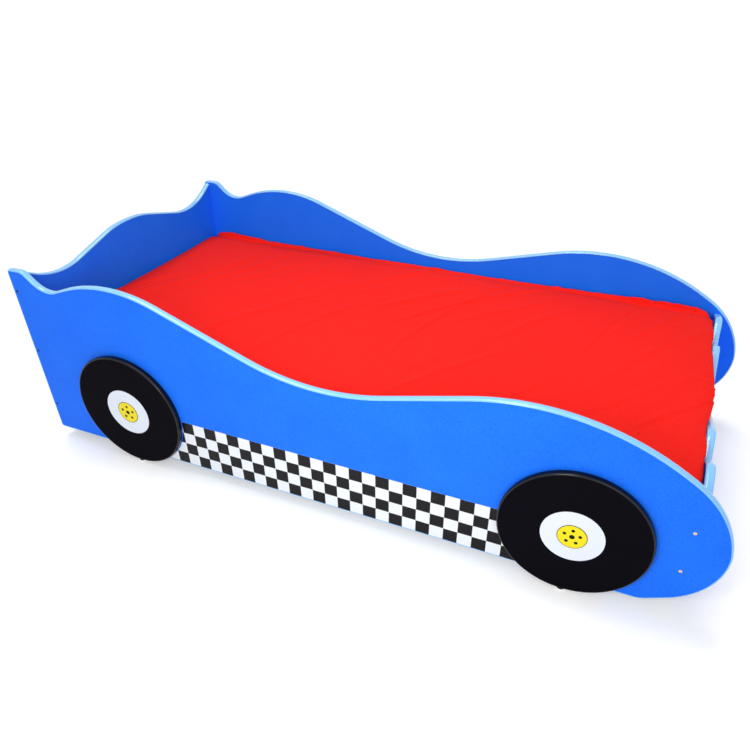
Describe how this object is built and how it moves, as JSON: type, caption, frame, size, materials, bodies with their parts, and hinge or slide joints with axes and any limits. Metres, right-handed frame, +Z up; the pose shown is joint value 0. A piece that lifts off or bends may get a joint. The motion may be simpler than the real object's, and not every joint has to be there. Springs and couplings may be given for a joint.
{
  "type": "children's car bed",
  "caption": "Low single bed for a child, shaped like a racing car: curved blue side panels, round wheels on their outer faces, a slatted base and a mattress with a red sheet.",
  "frame": {"origin": "on the floor under the middle of the bed's overall length and width", "axes": "+X towards the nose at the foot end, +Y towards the left side of the car, +Z up"},
  "size_m": [2.01, 1.014, 0.5868],
  "materials": {
    "blue_board": "blue melamine laminated board, satin",
    "blue_moulding": "light blue PVC edge moulding",
    "black_board": "black laminated board, semi-gloss",
    "black_moulding": "black PVC edge moulding",
    "checker_film": "printed self-adhesive film, black and white squares",
    "white_film": "white self-adhesive film",
    "webbing_tape": "undyed woven polyester tape",
    "softwood": "planed pine",
    "nickel": "nickel plated steel",
    "zinc_screws": "zinc plated steel",
    "black_screws": "black phosphated steel",
    "mattress_foam": "foam mattress in white ticking",
    "red_cotton": "red cotton fitted sheet"
  },
  "bodies": {
    "bed_frame": {"checker_strip_left": "checker_film", "checker_strip_right": "checker_film", "cleat_screws": "black_screws", "foot_cleat": "softwood", "front_moulding": "blue_moulding", "front_panel": "blue_board", "front_panel_screws": "zinc_screws", "glides": "nickel", "head_cleat": "softwood", "headboard": "blue_board", "headboard_moulding": "blue_moulding", "headboard_screws": "black_screws", "hub_discs": "white_film", "side_cleat_left": "softwood", "side_cleat_right": "softwood", "side_moulding_left": "blue_moulding", "side_moulding_right": "blue_moulding", "side_panel_left": "blue_board", "side_panel_right": "blue_board", "slat_01": "softwood", "slat_02": "softwood", "slat_03": "softwood", "slat_04": "softwood", "slat_05": "softwood", "slat_06": "softwood", "slat_07": "softwood", "slat_08": "softwood", "slat_09": "softwood", "slat_10": "softwood", "slat_11": "softwood", "slat_12": "softwood", "slat_13": "softwood", "slat_screws": "black_screws", "slat_webbing_left": "webbing_tape", "slat_webbing_right": "webbing_tape", "wheel_disc_front_left": "black_board", "wheel_disc_front_right": "black_board", "wheel_disc_rear_left": "black_board", "wheel_disc_rear_right": "black_board", "wheel_moulding_front_left": "black_moulding", "wheel_moulding_front_right": "black_moulding", "wheel_moulding_rear_left": "black_moulding", "wheel_moulding_rear_right": "black_moulding", "wheel_screws": "black_screws"},
    "mattress": {"mattress": "mattress_foam", "fitted_sheet": "red_cotton"}
  },
  "joints": [
    {"name": "mattress_lift", "type": "slide", "parent": "bed_frame", "child": "mattress", "axis": [0, 0, 1], "range_m": [0, 0.4]}
  ]
}
